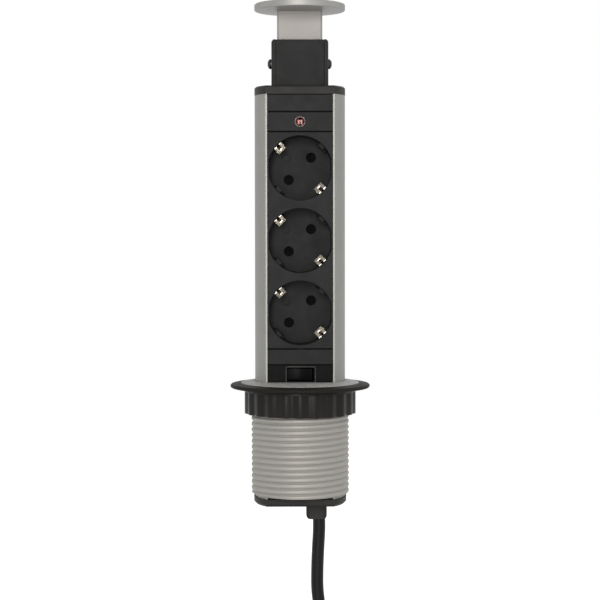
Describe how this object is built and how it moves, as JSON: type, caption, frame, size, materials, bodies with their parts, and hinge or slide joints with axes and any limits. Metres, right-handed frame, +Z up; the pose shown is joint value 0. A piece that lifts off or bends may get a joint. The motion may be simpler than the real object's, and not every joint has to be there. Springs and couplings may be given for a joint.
{
  "type": "pop-up socket tower",
  "caption": "Pull-up worktop socket tower with earthed sockets, rocker switch, neon indicator, lift handle, clamping collar and mains cord.",
  "frame": {"origin": "centre of the worktop hole, on the worktop's top face, where the flange's underside rests", "axes": "+Z up along the tower, sockets and switch face -Y, +X to the right seen from the front"},
  "size_m": [0.0844, 0.0844, 0.6358],
  "materials": {
    "anodised_aluminium": "satin anodised",
    "handle_aluminium": "matte",
    "brushed_disc": "turned",
    "panel_plastic": "fine satin",
    "cap_plastic": "fine satin",
    "carrier_plastic": "matte",
    "shutter_plastic": "matte",
    "ring_paint": "silver-grey sprayed",
    "barrel_plastic": "silver-grey satin",
    "flange_plastic": "satin",
    "nut_plastic": "satin",
    "brake_rubber": "matte",
    "switch_plastic": "satin",
    "rocker_plastic": "gloss",
    "plated_brass": "nickel plated",
    "spring_steel": "bright",
    "screw_steel": "dark zinc",
    "lens_plastic": "clear",
    "lamp_glass": "clear red",
    "electrode_metal": "matte",
    "resistor_body": "matte",
    "wire_brown": "satin",
    "wire_black": "satin",
    "wire_blue": "satin",
    "wire_green_yellow": "satin",
    "cord_jacket": "satin",
    "plug_plastic": "satin"
  },
  "bodies": {
    "collar": {"flange_ring": "flange_plastic", "bezel_ring": "ring_paint", "friction_ring": "brake_rubber", "threaded_barrel": "barrel_plastic"},
    "washer": {"thrust_washer": "nut_plastic"},
    "nut": {"clamp_nut": "nut_plastic"},
    "tower": {"tower_profile": "anodised_aluminium", "top_cap": "cap_plastic", "bottom_cap": "cap_plastic", "cap_screws": "screw_steel", "neck_block": "cap_plastic", "neck_plate": "panel_plastic", "handle_strap": "handle_aluminium", "strap_screws": "screw_steel", "lid_disc": "brushed_disc", "blank_panel_upper": "panel_plastic", "indicator_panel": "panel_plastic", "socket_insert": "panel_plastic", "blank_panel_lower": "panel_plastic", "switch_panel": "switch_plastic", "lower_front_panel": "panel_plastic", "socket_base": "carrier_plastic", "base_cover": "carrier_plastic", "line_busbar": "plated_brass", "neutral_busbar": "plated_brass", "earth_clips": "plated_brass", "earth_bar": "plated_brass", "shutter_springs": "spring_steel", "lamp_lens": "lens_plastic", "lamp_bulb": "lamp_glass", "lamp_electrodes": "electrode_metal", "lamp_resistor": "resistor_body", "switch_housing": "switch_plastic", "switch_terminals": "plated_brass", "line_wire": "wire_brown", "switched_wire": "wire_black", "neutral_wire": "wire_blue", "earth_wire": "wire_green_yellow", "strain_relief": "cap_plastic", "cord_clamp": "carrier_plastic", "clamp_screws": "screw_steel", "cord_tail": "cord_jacket", "cord": "cord_jacket", "cord_hank": "cord_jacket", "hank_tie": "carrier_plastic", "cord_lead": "cord_jacket", "plug_body": "plug_plastic", "plug_pins": "plated_brass", "plug_contacts": "plated_brass"},
    "rocker": {"rocker": "rocker_plastic"},
    "shutter_1": {"shutter_1": "shutter_plastic"},
    "shutter_2": {"shutter_2": "shutter_plastic"},
    "shutter_3": {"shutter_3": "shutter_plastic"}
  },
  "joints": [
    {"name": "tower_lift", "type": "slide", "parent": "collar", "child": "tower", "axis": [0, 0, 1], "range_m": [-0.2218, 0.0012]},
    {"name": "washer_travel", "type": "slide", "parent": "collar", "child": "washer", "axis": [0, 0, 1], "range_m": [-0.046, 0]},
    {"name": "nut_turn", "type": "hinge", "parent": "washer", "child": "nut", "pos_m": [0, 0, 0], "axis": [0, 0, 1], "range_deg": [-4732, 0]},
    {"name": "rocker_tilt", "type": "hinge", "parent": "tower", "child": "rocker", "pos_m": [0, -0.0135, 0.0095], "axis": [0, 0, 1], "range_deg": [0, 16]},
    {"name": "shutter_1_turn", "type": "hinge", "parent": "tower", "child": "shutter_1", "pos_m": [0, 0.00325, 0.13237], "axis": [0, 1, 0], "range_deg": [0, 42], "stiffness_Nm_per_rad": 0.01},
    {"name": "shutter_2_turn", "type": "hinge", "parent": "tower", "child": "shutter_2", "pos_m": [0, 0.00325, 0.08933], "axis": [0, 1, 0], "range_deg": [0, 42], "stiffness_Nm_per_rad": 0.01},
    {"name": "shutter_3_turn", "type": "hinge", "parent": "tower", "child": "shutter_3", "pos_m": [0, 0.00325, 0.04627], "axis": [0, 1, 0], "range_deg": [0, 42], "stiffness_Nm_per_rad": 0.01}
  ],
  "couplings": [
    {"joint": "nut_turn", "follows": "washer_travel", "rad_per_m": 1795.2}
  ]
}
